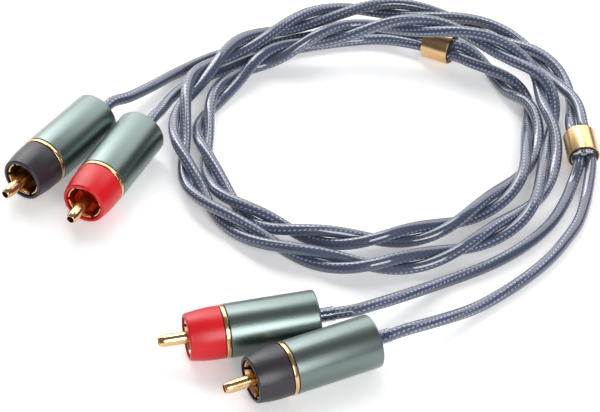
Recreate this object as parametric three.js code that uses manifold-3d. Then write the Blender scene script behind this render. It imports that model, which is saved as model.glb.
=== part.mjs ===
// A stereo phono cable: two braided strands with a plug at each of their four ends.
// Between two gold splitter rings the strands are twisted into one pair, which lies in loose loops.
// Millimetres, +Z up. The cable lies on the surface z = 0, with the plugs of end A at the left (-X)
// and those of end B in front (-Y). The origin is under the middle of the plugs and rings.
import * as THREE from "three";
import { mergeVertices } from "three/addons/utils/BufferGeometryUtils.js";
import Module from "manifold-3d";

const wasm = await Module();
wasm.setup();

// Clearances
const GAP = 0.2; // between pieces that screw, slide or rest together
const TIGHT_GAP = 0.1; // round pieces that are shrunk or glued on
const CORD_GAP = 0.3; // between the end of a cord and what it meets
const FLOOR_GAP = 0.2; // under a cord that lies on the surface

// Cord
const STRAND_RADIUS = 1.6;
const JACKET_GAP = 0.1; // between two strands that lie side by side
const CORD_SIDES = 8;
const STRAIGHT_RUN = 5; // a strand leaves its plug straight for this length
const RING_STRAIGHT_RUN = 1.5; // and a ring for this length
const PAIR_STRAIGHT_RUN = 2.5; // the pair leaves a ring straight for this length

// Barrel and trim ring
const PLUG_RADIUS = 7;
const TRIM_WIDTH = 1.1;
const TRIM_EDGE = 0.2;
const BARREL_LENGTH = 23.35;
const BARREL_WALL = 0.8;
const BARREL_REAR_WALL = 1.5;
const BARREL_EDGE = 0.5;

// Boot
const BOOT_LENGTH = 9;
const BOOT_STEP = 0.2; // the boot starts this much inside the trim ring's radius
const BOOT_FRONT_RADIUS = 6.1;
const BOOT_BULGE = 0.25;
const BOOT_EDGE = 0.5;

// Ground shell
const SHELL_BORE_RADIUS = 4.1;
const SHELL_WALL = 0.45;
const LIP_FLARE = 0.45; // how far the lip stands out from the fingers
const LIP_SETBACK = 0.5; // behind the front face of the boot
const LIP_LENGTH = 1.6;
const SLOT_COUNT = 6;
const SLOT_WIDTH = 1;
const SLOT_LENGTH = 6;
const NECK_LENGTH = 6;
const NECK_BORE_RADIUS = 3.4;

// Centre pin and insulator
const PIN_RADIUS = 1.6;
const PIN_REACH = 7.2; // in front of the boot
const PIN_NOSE = 1.2;
const PIN_NOSE_RADIUS = 1.2;
const PIN_BORE_RADIUS = 1;
const PIN_BORE_DEPTH = 7;
const PIN_COLLAR_RADIUS = 2.4;
const PIN_COLLAR_WIDTH = 0.8;
const CUP_RADIUS = 1.3;
const CUP_BORE_RADIUS = 0.8;
const CUP_LENGTH = 5.5;
const CUP_DEPTH = 3.5;
const INSULATOR_LENGTH = 6;
const INSULATOR_EDGE = 0.4;

// Ground tab
const TAB_THICKNESS = 0.5;
const TAB_WIDTH = 3;
const TAB_STRAIGHT = 4; // from the washer to the bend
const TAB_SLOPE = 3; // length of the slanted stretch
const WASHER_STEP = 0.4; // the washer's rim lies this much inside the neck's
const CLAW_LENGTH = 3.5;
const CLAW_OPENING = 90; // degrees, at the bottom
const JACKET_PAST_CLAW = 1; // the jacket ends this far in front of the claw

// Strain sleeve and stripped end of the strand
const SLEEVE_WALL = 0.3;
const SLEEVE_INSIDE = 3.5; // inside the barrel's rear face
const SLEEVE_OUT_A = 2.2;
const SLEEVE_OUT_B = 4.6;
const INNER_RADIUS = 0.9;
const CONDUCTOR_RADIUS = 0.45;
const CONDUCTOR_BARE = 1.5; // between the insulation and the solder cup

// Splitter
const RING_LENGTH = 8;
const RING_WALL = 0.4;
const RING_EDGE = 0.15;
const RING_SLEEVE_WALL = 0.3;
const RING_SLEEVE_PROUD = 0.2;
const GLUE_PROUD = 0.4;
const GLUE_WALL = 0.25; // between a strand's hole and the outside of the glue

// Facets round each kind of piece
const PLUG_SIDES = 24;
const SHELL_SIDES = 20;
const PIN_SIDES = 16;
const CORE_SIDES = 12;

// Places of the plugs: middle of the trim ring, and the direction of the pin in degrees from +X
const PLUGS = {
  a_black: { at: [-70.5, 14.7], heading: -123.4, colour: "black", sleeveOut: SLEEVE_OUT_A },
  a_red: { at: [-54.6, 5.6], heading: -114.8, colour: "red", sleeveOut: SLEEVE_OUT_A },
  b_red: { at: [-20.1, -53.5], heading: -166.6, colour: "red", sleeveOut: SLEEVE_OUT_B },
  b_black: { at: [-4.3, -67.3], heading: -154.6, colour: "black", sleeveOut: SLEEVE_OUT_B },
};

// Places of the splitters: middle, height of that middle above a ring lying flat, direction towards the
// plugs, and direction from the middle towards the strand of the red plugs
const SPLITTERS = {
  splitter_a: { at: [39.3, 70.7], lift: 0, toPlugs: [-0.885, 0.465, 0], toRed: [-0.32, -0.61, -0.73] },
  splitter_b: { at: [76.4, 23.3], lift: 0.8, toPlugs: [0.1, -0.96, -0.17], toRed: [-1, 0, 0] },
};

// Routes of the cords: x, y and the height of the cord's underside above its place on the surface.
// The split strands run from the plug to the ring, and the pair from ring A to ring B.
const ROUTES = {
  a_black: [[-49, 45.2, 3.6], [-43.3, 52, 1.9], [-35, 62, 0], [-23.5, 70, 0], [-11, 74.5, 0],
    [2, 78.5, 0], [12, 80.5, 0], [21, 81, 0.5]],
  a_red: [[-39.6, 38.5, 4.3], [-37, 46, 2.8], [-32, 54.8, 1], [-23, 62.5, 0], [-12, 69, 0],
    [0.5, 73.5, 0], [13.5, 76.5, 0], [24, 76.5, 0.5]],
  b_red: [[17.5, -43, 4.5], [25.5, -37.3, 2.6], [37.5, -28.5, 0], [45, -24.5, 0], [52, -20, 0],
    [59.5, -13.5, 0], [66, -5.5, 0], [70.5, 3.5, 0], [73, 10.5, 0.3]],
  b_black: [[37, -45.5, 2.5], [44.5, -39.5, 0.5], [51, -34, 0], [58.5, -27, 0], [65, -19.5, 0],
    [69.5, -12.5, 0], [73.5, -5, 0], [76.2, 4, 0]],
  pair: [[53, 60, 0], [63, 43.5, 0], [59.2, 13.5, 0], [40.5, -6.5, 0], [18.5, -13.5, 0],
    [-3.5, -9.8, 0], [-19, 2, 0], [-27, 23, 0], [-26.5, 42, 0], [-15.5, 60.5, 0.5], [0.5, 68, 4],
    [21.5, 72, 7], [45.5, 65.5, 9.5], [65, 52, 5.5], [68.9, 32.7, 1], [61.5, 1, 0], [41, -17.5, 0],
    [17, -24, 0], [-6.5, -16.5, 0], [-25.5, 0, 0.5], [-33, 19.5, 2], [-33, 42, 4], [-24, 59.5, 4.5],
    [-8, 74, 4], [16, 88, 1.5], [43, 85.5, 0], [65, 69, 0.5], [74.8, 45, 2]],
};
const SPLIT_STEPS = 11;
const PAIR_STEPS = 36;

// Looks
const GOLD = { color: 0xe3b75c, roughness: 0.15, metalness: 1 };
const ALUMINIUM = { color: 0x8f9f9b, roughness: 0.4, metalness: 0.9 };
const BOOT = {
  red: { color: 0xd2222c, roughness: 0.35, metalness: 0 },
  black: { color: 0x3a383d, roughness: 0.4, metalness: 0 },
};
const INSULATOR = {
  red: { color: 0x9c1c20, roughness: 0.4, metalness: 0 },
  black: { color: 0x1e1b1a, roughness: 0.4, metalness: 0 },
};
const CLEAR_SLEEVE = { color: 0xb9c0cc, roughness: 0.2, metalness: 0 };
const STRIPPED = { color: 0xd9d3c6, roughness: 0.5, metalness: 0 };
const DARK_SLEEVE = { color: 0x2a1d16, roughness: 0.35, metalness: 0 };
const GLUE = { color: 0x8d949c, roughness: 0.15, metalness: 0 };
const BRAID = { color: 0x4b5268, roughness: 0.3, metalness: 0 };

// Places along a plug's axis, from the middle of the trim ring, with the pin forwards
const trimFront = TRIM_WIDTH / 2;
const barrelFront = -trimFront - GAP;
const barrelRear = barrelFront - BARREL_LENGTH;
const bootRear = trimFront + GAP;
const bootFront = bootRear + BOOT_LENGTH;
const lipFront = bootFront - LIP_SETBACK;
const slotRear = lipFront - SLOT_LENGTH;
const neckFront = barrelFront - GAP;
const neckRear = neckFront - NECK_LENGTH;
const insulatorSeat = slotRear - INSULATOR_LENGTH - GAP;
const insulatorRear = insulatorSeat + GAP;
const insulatorFront = insulatorRear + INSULATOR_LENGTH;
const pinTip = bootFront + PIN_REACH;
const collarFront = insulatorRear - GAP;
const collarRear = collarFront - PIN_COLLAR_WIDTH;
const cupRear = collarRear - CUP_LENGTH;
const washerFront = neckRear - GAP;
const washerRear = washerFront - TAB_THICKNESS;
const clawFront = washerRear - TAB_STRAIGHT - TAB_SLOPE;
const clawRear = clawFront - CLAW_LENGTH;

// Radii in a plug that follow from what a piece holds
const barrelBoreRadius = PLUG_RADIUS - BARREL_WALL;
const neckRadius = barrelBoreRadius - GAP;
const washerRadius = neckRadius - WASHER_STEP;
const fingerRadius = SHELL_BORE_RADIUS + SHELL_WALL;
const lipRadius = fingerRadius + LIP_FLARE;
const bootBoreRadius = lipRadius + GAP;
const bootRearRadius = PLUG_RADIUS - BOOT_STEP;
const sleeveBoreRadius = STRAND_RADIUS + TIGHT_GAP;
const sleeveRadius = sleeveBoreRadius + SLEEVE_WALL;
const clawBoreRadius = STRAND_RADIUS + TIGHT_GAP;
const strandOffset = STRAND_RADIUS + JACKET_GAP / 2;
const pairRadius = 2 * STRAND_RADIUS;

// Radii in a splitter, from the strands outwards
const strandHoleRadius = STRAND_RADIUS + TIGHT_GAP;
const glueRadius = strandOffset + strandHoleRadius + GLUE_WALL;
const ringSleeveRadius = glueRadius + TIGHT_GAP + RING_SLEEVE_WALL;
const ringRadius = ringSleeveRadius + TIGHT_GAP + RING_WALL;

function piece(name, geometry, look) {
  const mesh = new THREE.Mesh(geometry, new THREE.MeshStandardMaterial(look));
  mesh.name = name;
  return mesh;
}

// A closed geometry as a solid that can be joined and cut.
function solidOf(geometry) {
  const bare = geometry.clone();
  bare.deleteAttribute("normal");
  bare.deleteAttribute("uv");
  const merged = mergeVertices(bare, 1e-3);
  return new wasm.Manifold(new wasm.Mesh({
    numProp: 3,
    vertProperties: new Float32Array(merged.attributes.position.array),
    triVerts: new Uint32Array(merged.index.array),
  }));
}

function geometryOf(solid) {
  const mesh = solid.getMesh();
  const geometry = new THREE.BufferGeometry();
  geometry.setAttribute("position", new THREE.BufferAttribute(new Float32Array(mesh.vertProperties), 3));
  geometry.setIndex(new THREE.BufferAttribute(new Uint32Array(mesh.triVerts), 1));
  geometry.computeVertexNormals();
  return geometry;
}

// A piece turned about its axis (+Y). The profile's [radius, place along the axis] points run up the
// outside and down the bore; one that doesn't touch the axis is closed on itself.
function turned(profile, sides) {
  const points = profile.map(([radius, along]) => new THREE.Vector2(radius, along));
  if (profile[0][0] > 0) points.push(points[0].clone());
  return new THREE.LatheGeometry(points, sides);
}

// Profile points round an edge, from one angle to another in degrees, with 0 pointing outwards and 90
// forwards.
function roundedEdge(radius, along, size, from, to, steps = 3) {
  const points = [];
  for (let i = 0; i <= steps; i++) {
    const angle = THREE.MathUtils.degToRad(from + ((to - from) * i) / steps);
    points.push([radius + size * Math.cos(angle), along + size * Math.sin(angle)]);
  }
  return points;
}

function barrelGeometry() {
  const holeRadius = sleeveRadius + GAP;
  return turned([
    [holeRadius, barrelRear],
    ...roundedEdge(PLUG_RADIUS - BARREL_EDGE, barrelRear + BARREL_EDGE, BARREL_EDGE, -90, 0),
    [PLUG_RADIUS, barrelFront],
    [barrelBoreRadius, barrelFront],
    [barrelBoreRadius, barrelRear + BARREL_REAR_WALL],
    [holeRadius, barrelRear + BARREL_REAR_WALL],
  ], PLUG_SIDES);
}

function trimRingGeometry() {
  return turned([
    [bootBoreRadius, -trimFront],
    [PLUG_RADIUS - TRIM_EDGE, -trimFront],
    [PLUG_RADIUS, TRIM_EDGE - trimFront],
    [PLUG_RADIUS, trimFront - TRIM_EDGE],
    [PLUG_RADIUS - TRIM_EDGE, trimFront],
    [bootBoreRadius, trimFront],
  ], PLUG_SIDES);
}

// The boot tapers towards the front and bulges a little between its ends.
function bootGeometry() {
  const steps = 5;
  const outside = [];
  for (let i = 0; i < steps; i++) {
    const t = i / steps;
    const taper = THREE.MathUtils.lerp(bootRearRadius, BOOT_FRONT_RADIUS, t);
    const along = THREE.MathUtils.lerp(bootRear, bootFront - BOOT_EDGE, t);
    outside.push([taper + BOOT_BULGE * Math.sin(Math.PI * t), along]);
  }
  return turned([
    ...outside,
    ...roundedEdge(BOOT_FRONT_RADIUS - BOOT_EDGE, bootFront - BOOT_EDGE, BOOT_EDGE, 0, 90),
    [bootBoreRadius, bootFront],
    [bootBoreRadius, bootRear],
  ], PLUG_SIDES);
}

// One turned piece: a neck that screws into the barrel, a collar that carries the trim ring and the boot,
// and a thin tube with a flared lip, which saw cuts divide into sprung fingers.
function groundShellGeometry() {
  const collarRadius = bootBoreRadius - GAP;
  const lipRear = lipFront - LIP_LENGTH;
  const body = turned([
    [NECK_BORE_RADIUS, neckRear],
    [neckRadius, neckRear],
    [neckRadius, neckFront],
    [collarRadius, neckFront],
    [collarRadius, slotRear - SHELL_WALL - LIP_FLARE],
    [fingerRadius, slotRear - SHELL_WALL],
    [fingerRadius, lipRear],
    [lipRadius, lipFront - SHELL_WALL],
    [lipRadius, lipFront - SHELL_WALL / 2],
    [lipRadius - SHELL_WALL / 2, lipFront],
    [lipRadius - SHELL_WALL, lipFront - SHELL_WALL / 2],
    [SHELL_BORE_RADIUS, lipRear],
    [SHELL_BORE_RADIUS, insulatorSeat],
    [NECK_BORE_RADIUS, insulatorSeat],
  ], SHELL_SIDES);
  let shell = solidOf(body);
  const cutLength = 2 * SLOT_LENGTH;
  for (let i = 0; i < SLOT_COUNT; i++) {
    const saw = new THREE.BoxGeometry(SLOT_WIDTH, cutLength, 2 * lipRadius);
    saw.translate(0, slotRear + cutLength / 2, lipRadius);
    saw.rotateY((2 * Math.PI * (i + 0.5)) / SLOT_COUNT);
    shell = shell.subtract(solidOf(saw));
  }
  return geometryOf(shell);
}

function insulatorGeometry() {
  const radius = SHELL_BORE_RADIUS - GAP;
  return turned([
    [PIN_RADIUS + GAP, insulatorRear],
    [radius, insulatorRear],
    [radius, insulatorFront - INSULATOR_EDGE],
    [radius - INSULATOR_EDGE, insulatorFront],
    [PIN_RADIUS + GAP, insulatorFront],
  ], SHELL_SIDES);
}

// Hollow at the tip, with a tapered nose, a collar behind the insulator and a cup for the conductor.
function centrePinGeometry() {
  return turned([
    [0, cupRear + CUP_DEPTH],
    [CUP_BORE_RADIUS, cupRear + CUP_DEPTH],
    [CUP_BORE_RADIUS, cupRear],
    [CUP_RADIUS, cupRear],
    [CUP_RADIUS, collarRear],
    [PIN_COLLAR_RADIUS, collarRear],
    [PIN_COLLAR_RADIUS, collarFront],
    [PIN_RADIUS, collarFront],
    [PIN_RADIUS, pinTip - PIN_NOSE],
    [PIN_NOSE_RADIUS, pinTip],
    [PIN_BORE_RADIUS, pinTip],
    [PIN_BORE_RADIUS, pinTip - PIN_BORE_DEPTH],
    [0, pinTip - PIN_BORE_DEPTH],
  ], PIN_SIDES);
}

// A washer behind the shell's neck, a strip that steps inwards, and a claw closed round the jacket.
function groundTabGeometry() {
  const washer = turned([
    [NECK_BORE_RADIUS, washerRear],
    [washerRadius, washerRear],
    [washerRadius, washerFront],
    [NECK_BORE_RADIUS, washerFront],
  ], SHELL_SIDES);

  const stripTop = washerRadius - TAB_THICKNESS / 2;
  const clawTop = clawBoreRadius + TAB_THICKNESS;
  const bend = washerRear - TAB_STRAIGHT;
  const side = new THREE.Shape([
    [washerFront, stripTop],
    [bend, stripTop],
    [clawFront, clawTop],
    [clawRear, clawTop],
    [clawRear, clawBoreRadius],
    [clawFront, clawBoreRadius],
    [bend, stripTop - TAB_THICKNESS],
    [washerFront, stripTop - TAB_THICKNESS],
  ].map(([along, height]) => new THREE.Vector2(along, height)));
  const strip = new THREE.ExtrudeGeometry(side, { depth: TAB_WIDTH, bevelEnabled: false });
  strip.translate(0, 0, -TAB_WIDTH / 2);
  const [x, y, z] = [[1, 0, 0], [0, 1, 0], [0, 0, 1]].map((axis) => new THREE.Vector3(...axis));
  strip.applyMatrix4(new THREE.Matrix4().makeBasis(y, z, x));

  const open = THREE.MathUtils.degToRad(CLAW_OPENING / 2);
  const [from, to] = [open - Math.PI / 2, 1.5 * Math.PI - open];
  const ring = new THREE.Shape();
  ring.absarc(0, 0, clawTop, from, to, false);
  ring.absarc(0, 0, clawBoreRadius, to, from, true);
  const clawOptions = { depth: CLAW_LENGTH, bevelEnabled: false, curveSegments: 6 };
  const claw = new THREE.ExtrudeGeometry(ring, clawOptions);
  claw.rotateX(Math.PI / 2);
  claw.translate(0, clawFront, 0);

  return geometryOf(solidOf(washer).add(solidOf(strip)).add(solidOf(claw)));
}

function strainSleeveGeometry(out) {
  const [rear, front] = [barrelRear - out, barrelRear + SLEEVE_INSIDE];
  return turned([
    [sleeveBoreRadius, rear],
    [sleeveRadius, rear],
    [sleeveRadius, front],
    [sleeveBoreRadius, front],
  ], CORE_SIDES);
}

// The jacket ends past the claw, the insulation runs on, and the bare conductor enters the solder cup.
function strippedEndGeometry(out) {
  const jacketFront = clawFront + JACKET_PAST_CLAW;
  const insulationFront = cupRear - CONDUCTOR_BARE;
  const conductorFront = cupRear + CUP_DEPTH - GAP;
  return turned([
    [0, barrelRear - out],
    [STRAND_RADIUS, barrelRear - out],
    [STRAND_RADIUS, jacketFront],
    [INNER_RADIUS, jacketFront],
    [INNER_RADIUS, insulationFront],
    [CONDUCTOR_RADIUS, insulationFront],
    [CONDUCTOR_RADIUS, conductorFront],
    [0, conductorFront],
  ], CORE_SIDES);
}

// A plug lies on its barrel and trim ring, with its axis level.
function plug(name, { at, heading, colour, sleeveOut }) {
  const group = new THREE.Group();
  group.position.set(...at, PLUG_RADIUS);
  group.rotation.z = THREE.MathUtils.degToRad(heading - 90);
  group.add(
    piece(name + "_centre_pin", centrePinGeometry(), GOLD),
    piece(name + "_insulator", insulatorGeometry(), INSULATOR[colour]),
    piece(name + "_ground_shell", groundShellGeometry(), GOLD),
    piece(name + "_ground_tab", groundTabGeometry(), GOLD),
    piece(name + "_boot", bootGeometry(), BOOT[colour]),
    piece(name + "_trim_ring", trimRingGeometry(), GOLD),
    piece(name + "_barrel", barrelGeometry(), ALUMINIUM),
    piece(name + "_strain_sleeve", strainSleeveGeometry(sleeveOut), CLEAR_SLEEVE),
    piece(name + "_stripped_end", strippedEndGeometry(sleeveOut), STRIPPED),
  );
  group.updateMatrixWorld();
  return group;
}

// A tube about the splitter's axis, of one wall thickness, that stands proud of the ring's ends.
function splitterTube(radius, wall, proud, edge = 0) {
  const end = RING_LENGTH / 2 + proud;
  const rounded = [
    ...roundedEdge(radius - edge, edge - end, edge, -90, 0, 2),
    ...roundedEdge(radius - edge, end - edge, edge, 0, 90, 2),
  ];
  const outside = edge > 0 ? rounded : [[radius, -end], [radius, end]];
  return turned([...outside, [radius - wall, end], [radius - wall, -end]], SHELL_SIDES);
}

// The glue fills the sleeve round the two strands, whose holes run into each other.
function glueGeometry() {
  const end = RING_LENGTH / 2 + GLUE_PROUD;
  let glue = solidOf(new THREE.CylinderGeometry(glueRadius, glueRadius, 2 * end, SHELL_SIDES));
  for (const side of [-1, 1]) {
    const hole = new THREE.CylinderGeometry(strandHoleRadius, strandHoleRadius, 3 * end, CORE_SIDES);
    hole.translate(side * strandOffset, 0, 0);
    glue = glue.subtract(solidOf(hole));
  }
  return geometryOf(glue);
}

// The group's +Y points towards the plugs and its +X towards the strand of the red plugs.
function splitter(name, { at, lift, toPlugs, toRed }) {
  const group = new THREE.Group();
  const y = new THREE.Vector3(...toPlugs).normalize();
  const z = new THREE.Vector3(...toRed).cross(y).normalize();
  const x = new THREE.Vector3().crossVectors(y, z);
  group.quaternion.setFromRotationMatrix(new THREE.Matrix4().makeBasis(x, y, z));
  group.position.set(...at, ringRadius + lift);
  group.add(
    piece(name + "_ring", splitterTube(ringRadius, RING_WALL, 0, RING_EDGE), GOLD),
    piece(
      name + "_heat_shrink",
      splitterTube(ringSleeveRadius, RING_SLEEVE_WALL, RING_SLEEVE_PROUD),
      DARK_SLEEVE,
    ),
    piece(name + "_glue", glueGeometry(), GLUE),
  );
  group.updateMatrixWorld();
  return group;
}

// Route points in space, from a list of x, y and height above the cord's place on the surface.
function routePoints(list, radius) {
  return list.map(([x, y, height]) => new THREE.Vector3(x, y, radius + FLOOR_GAP + height));
}

function cord(name, points, radius, steps) {
  const section = [];
  for (let i = 0; i < CORD_SIDES; i++) {
    const angle = (2 * Math.PI * (i + 0.5)) / CORD_SIDES;
    section.push(new THREE.Vector2(radius * Math.cos(angle), radius * Math.sin(angle)));
  }
  const geometry = new THREE.ExtrudeGeometry(new THREE.Shape(section), {
    steps,
    extrudePath: new THREE.CatmullRomCurve3(points),
    bevelEnabled: false,
  });
  return piece(name, geometry, BRAID);
}

// A strand leaves its plug straight, lies on the surface, and runs through the ring beside its twin.
function splitStrand(name, plugGroup, ringGroup) {
  const { colour, sleeveOut } = PLUGS[name];
  const exit = barrelRear - sleeveOut - CORD_GAP;
  const side = colour === "red" ? strandOffset : -strandOffset;
  const end = RING_LENGTH / 2 + GLUE_PROUD;
  const points = [
    plugGroup.localToWorld(new THREE.Vector3(0, exit, 0)),
    plugGroup.localToWorld(new THREE.Vector3(0, exit - STRAIGHT_RUN, 0)),
    ...routePoints(ROUTES[name], STRAND_RADIUS),
    ...[end + RING_STRAIGHT_RUN, end, 0, -end].map(
      (along) => ringGroup.localToWorld(new THREE.Vector3(side, along, 0))),
  ];
  return cord(name + "_strand", points, STRAND_RADIUS, SPLIT_STEPS);
}

// The twisted stretch fills the round outline of its two strands.
function twistedPair(ringA, ringB) {
  const start = -RING_LENGTH / 2 - GLUE_PROUD - CORD_GAP;
  const mouth = (ring, run) => ring.localToWorld(new THREE.Vector3(0, start - run, 0));
  const points = [
    mouth(ringA, 0),
    mouth(ringA, PAIR_STRAIGHT_RUN),
    ...routePoints(ROUTES.pair, pairRadius),
    mouth(ringB, PAIR_STRAIGHT_RUN),
    mouth(ringB, 0),
  ];
  return cord("twisted_pair", points, pairRadius, PAIR_STEPS);
}

const cable = new THREE.Group();
const rings = {};
for (const [name, place] of Object.entries(SPLITTERS)) {
  rings[name] = splitter(name, place);
  cable.add(rings[name]);
}
for (const [name, place] of Object.entries(PLUGS)) {
  const plugGroup = plug(name, place);
  cable.add(plugGroup, splitStrand(name, plugGroup, rings["splitter_" + name[0]]));
}
cable.add(twistedPair(rings.splitter_a, rings.splitter_b));

export default cable;
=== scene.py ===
import bmesh
import bpy
import numpy as np
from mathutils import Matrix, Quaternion, Vector


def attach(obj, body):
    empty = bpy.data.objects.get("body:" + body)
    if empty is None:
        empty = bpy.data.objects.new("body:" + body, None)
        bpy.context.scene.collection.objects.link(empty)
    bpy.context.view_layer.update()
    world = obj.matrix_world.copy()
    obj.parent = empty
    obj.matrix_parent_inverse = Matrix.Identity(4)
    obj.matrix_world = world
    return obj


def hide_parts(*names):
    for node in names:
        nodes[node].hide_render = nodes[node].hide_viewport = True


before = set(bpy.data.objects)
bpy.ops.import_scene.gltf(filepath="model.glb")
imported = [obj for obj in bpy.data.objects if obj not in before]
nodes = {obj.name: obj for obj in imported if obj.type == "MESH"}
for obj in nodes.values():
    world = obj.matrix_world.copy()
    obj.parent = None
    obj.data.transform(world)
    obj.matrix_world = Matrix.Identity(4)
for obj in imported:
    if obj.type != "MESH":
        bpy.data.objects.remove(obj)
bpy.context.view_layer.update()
mm = 0.001

# View and surface
# The cable lies on a plain white table top, and the camera looks down on it over the front edge, from
# about three quarters of a metre away, with a long lens.
PHOTO_WIDTH = 600
SENSOR_WIDTH = 36
FOCAL_PIXELS = 2810
CAMERA_ELEVATION = np.radians(40)
CAMERA_DISTANCE = 760 * mm
CAMERA_TARGET = np.array([-0.85, 4.2, 0]) * mm
FLOOR_SIZE = 12.0
FLOOR_COLOUR = "f2f2f2"
GLOW_COLOUR = "ffffff"
GLOW_STRENGTH = 0.3


def linear(hex_colour):
    """Linear RGBA of an sRGB hex colour: up to 0.04045 a channel is divided by 12.92, and past that it is
    the channel plus 0.055, over 1.055, to the power of 2.4."""
    c = np.array([int(hex_colour[i : i + 2], 16) / 255 for i in (0, 2, 4)])
    return (*np.where(c <= 0.04045, c / 12.92, ((c + 0.055) / 1.055) ** 2.4), 1.0)


def add_node(tree, kind, inputs=None, **settings):
    """Adds a node with its settings; each input is a value, or the socket that feeds it."""
    made = tree.nodes.new(kind)
    for name, value in settings.items():
        setattr(made, name, value)
    for name, value in (inputs or {}).items():
        if isinstance(value, bpy.types.NodeSocket):
            tree.links.new(value, made.inputs[name])
        else:
            made.inputs[name].default_value = value
    return made


def new_material(name):
    """An empty material and its node tree."""
    material = bpy.data.materials.new(name)
    material.use_nodes = True
    material.node_tree.nodes.clear()
    return material, material.node_tree


def finish_material(tree, shader):
    """Sends the shader to the material's output."""
    add_node(tree, "ShaderNodeOutputMaterial", {"Surface": shader.outputs[0]})


def table_top_material():
    """White laminate: matt, with the cable's soft shadow. Where the camera, a reflection or a clear piece
    sees it, it also glows a little, so that it shows white."""
    material, tree = new_material("white_laminate")
    diffuse = add_node(tree, "ShaderNodeBsdfDiffuse", {"Color": linear(FLOOR_COLOUR)})
    rays = add_node(tree, "ShaderNodeLightPath")
    seen = rays.outputs["Is Camera Ray"]
    for ray in ("Is Glossy Ray", "Is Transmission Ray"):
        either = add_node(
            tree, "ShaderNodeMath", {0: seen, 1: rays.outputs[ray]}, operation="MAXIMUM"
        )
        seen = either.outputs[0]
    strength = add_node(
        tree, "ShaderNodeMath", {0: seen, 1: GLOW_STRENGTH}, operation="MULTIPLY"
    )
    glow = add_node(
        tree, "ShaderNodeEmission",
        {"Color": linear(GLOW_COLOUR), "Strength": strength.outputs[0]},
    )
    both = add_node(tree, "ShaderNodeAddShader", {0: diffuse.outputs[0], 1: glow.outputs[0]})
    finish_material(tree, both)
    return material


camera = bpy.data.objects.new("camera", bpy.data.cameras.new("camera"))
camera.data.sensor_width = SENSOR_WIDTH
camera.data.lens = FOCAL_PIXELS / PHOTO_WIDTH * SENSOR_WIDTH
camera.location = CAMERA_TARGET + CAMERA_DISTANCE * np.array(
    [0, -np.cos(CAMERA_ELEVATION), np.sin(CAMERA_ELEVATION)]
)
camera.rotation_euler = (np.pi / 2 - CAMERA_ELEVATION, 0, 0)
bpy.context.scene.collection.objects.link(camera)
bpy.context.scene.camera = camera

half = FLOOR_SIZE / 2
floor_corners = [(-half, -half, 0), (half, -half, 0), (half, half, 0), (-half, half, 0)]
floor_mesh = bpy.data.meshes.new("table_top")
floor_mesh.from_pydata(floor_corners, [], [(0, 1, 2, 3)])
floor_mesh.materials.append(table_top_material())
floor = bpy.data.objects.new("table_top", floor_mesh)
bpy.context.scene.collection.objects.link(floor)

# Strands
# Two screened strands, each a slate-blue textile braid with pale tracer threads under a clear glossy PVC
# jacket. Each is one length from plug to plug: beside its twin through both splitters, and twisted round
# it to the left in between.
STRAND_RADIUS = 1.6 * mm
STRAND_OFFSET = 1.65 * mm
FLOOR_GAP = 0.2 * mm
CORD_GAP = 0.3 * mm
STRAIGHT_RUN = 5 * mm
RING_STRAIGHT_RUN = 1.5 * mm
PAIR_STRAIGHT_RUN = 2.5 * mm
STRAND_STEP = 0.8 * mm
STRAND_SIDES = 20
KNOT_SAMPLES = 24
BARREL_REAR = -24.1 * mm
JACKET_FRONT = -13.65 * mm
PLUG_RADIUS = 7 * mm
RING_RADIUS = 4.5 * mm
RING_LENGTH = 8 * mm
GLUE_PROUD = 0.4 * mm
SHARP_ANGLE = np.radians(35)

# The twist's half turns, counted as the photograph shows them, from the camera's side: at a ring's mouth,
# just outside it, and then one more at each point of the pair's route
TWIST_FRONT = np.array([0, -0.766, 0.643])
HALF_TURNS_AT_MOUTH = 0.5
HALF_TURNS_OUTSIDE = 0.54

# Middle of the trim ring in millimetres, direction of the pin in degrees from +X, boot colour, and how far
# the strain sleeve stands out of the barrel
PLUGS = {
    "a_black": ((-70.5, 14.7), -123.4, "black", 2.2 * mm),
    "a_red": ((-54.6, 5.6), -114.8, "red", 2.2 * mm),
    "b_red": ((-20.1, -53.5), -166.6, "red", 4.6 * mm),
    "b_black": ((-4.3, -67.3), -154.6, "black", 4.6 * mm),
}

# Middle of the splitter and the lift of a tilted one in millimetres, direction towards the plugs and
# towards the red strand
SPLITTERS = {
    "a": ((39.3, 70.7), 0.0, (-0.885, 0.465, 0), (-0.32, -0.61, -0.73)),
    "b": ((76.4, 23.3), 0.8, (0.1, -0.96, -0.17), (-1, 0, 0)),
}

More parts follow.
